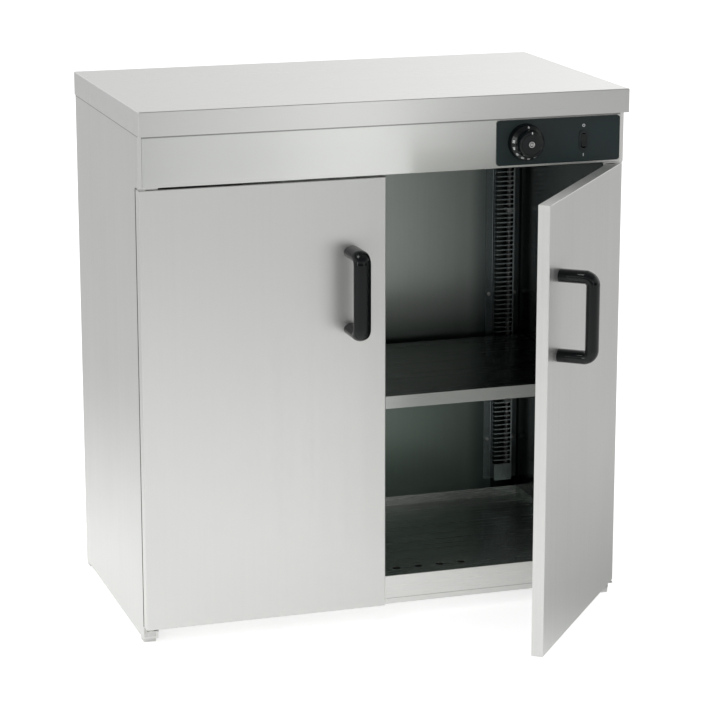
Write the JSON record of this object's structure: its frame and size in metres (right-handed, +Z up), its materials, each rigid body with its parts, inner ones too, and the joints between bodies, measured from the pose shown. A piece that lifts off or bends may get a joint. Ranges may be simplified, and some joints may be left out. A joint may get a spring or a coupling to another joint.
{
  "type": "plate warmer cabinet",
  "caption": "Free-standing heated cabinet for warming plates, folded from brushed stainless sheet, with hinged front doors, a flat worktop and a thermostat panel",
  "frame": {"origin": "on the floor, under the middle of the worktop", "axes": "+X to the right of someone facing the doors, +Y from the doors to the rear, +Z up"},
  "size_m": [0.8002, 0.7575, 0.855],
  "materials": {
    "steel_outer": "fine brushed",
    "steel_inner": "dull",
    "steel_guard": "dull",
    "zinc_steel": "satin",
    "heater_tube": "oxidised",
    "copper": "drawn",
    "black_gloss": "semi-gloss",
    "black_matte": "matt",
    "panel_dark": "satin",
    "pale_plastic": "matt",
    "nylon": "matt",
    "magnet_dark": "matt"
  },
  "bodies": {
    "cabinet": {"worktop": "steel_outer", "worktop_brace": "zinc_steel", "right_side_panel": "steel_outer", "left_side_panel": "steel_outer", "rear_panel": "steel_outer", "rear_screws": "zinc_steel", "feet": "pale_plastic", "fascia": "steel_outer", "right_inner_wall": "steel_inner", "left_inner_wall": "steel_inner", "inner_rear_wall": "steel_inner", "inner_ceiling": "steel_inner", "bottom_tray": "steel_inner", "tray_rivets": "zinc_steel", "base_panel": "zinc_steel", "right_heater_guard": "steel_guard", "left_heater_guard": "steel_guard", "guard_screws": "zinc_steel", "right_heating_element": "heater_tube", "left_heating_element": "heater_tube", "element_supports": "zinc_steel", "element_flanges": "zinc_steel", "shelf_ledges": "steel_inner", "ledge_screws": "zinc_steel", "right_upper_hinge": "zinc_steel", "right_lower_hinge": "zinc_steel", "left_upper_hinge": "zinc_steel", "left_lower_hinge": "zinc_steel", "control_panel": "panel_dark", "thermostat_body": "black_matte", "thermostat_capillary": "copper", "thermostat_bulb": "copper", "bulb_clips": "zinc_steel", "switch_housing": "black_matte", "terminal_block": "nylon", "wiring": "black_matte", "cable_gland": "black_matte", "gland_nut": "black_matte"},
    "left_door": {"left_door_skin": "steel_outer", "left_door_liner": "steel_outer", "left_door_stiffener": "zinc_steel", "left_door_handle": "black_gloss", "left_door_handle_screws": "zinc_steel", "left_door_bushes": "nylon", "left_door_magnet": "magnet_dark"},
    "right_door": {"right_door_skin": "steel_outer", "right_door_liner": "steel_outer", "right_door_stiffener": "zinc_steel", "right_door_handle": "black_gloss", "right_door_handle_screws": "zinc_steel", "right_door_bushes": "nylon", "right_door_magnet": "magnet_dark"},
    "knob": {"thermostat_knob": "black_gloss", "knob_insert": "zinc_steel", "knob_spindle": "zinc_steel"},
    "rocker": {"switch_rocker": "black_gloss"},
    "loose_shelf": {"shelf": "steel_inner"}
  },
  "joints": [
    {"name": "left_door_hinge", "type": "hinge", "parent": "cabinet", "child": "left_door", "pos_m": [-0.391, -0.205, 0], "axis": [0, 0, 1], "range_deg": [-110, 0]},
    {"name": "right_door_hinge", "type": "hinge", "parent": "cabinet", "child": "right_door", "pos_m": [0.391, -0.205, 0], "axis": [0, 0, 1], "range_deg": [-51.4, 58.6]},
    {"name": "knob_turn", "type": "hinge", "parent": "cabinet", "child": "knob", "pos_m": [0.2295, -0.23, 0.7755], "axis": [0, 1, 0], "range_deg": [0, 270]},
    {"name": "rocker_pivot", "type": "hinge", "parent": "cabinet", "child": "rocker", "pos_m": [0.3288, -0.211, 0.7727], "axis": [1, 0, 0], "range_deg": [0, 14]},
    {"name": "shelf_lift", "type": "slide", "parent": "cabinet", "child": "loose_shelf", "axis": [0, 0, 1], "range_m": [0, 0.03]}
  ]
}
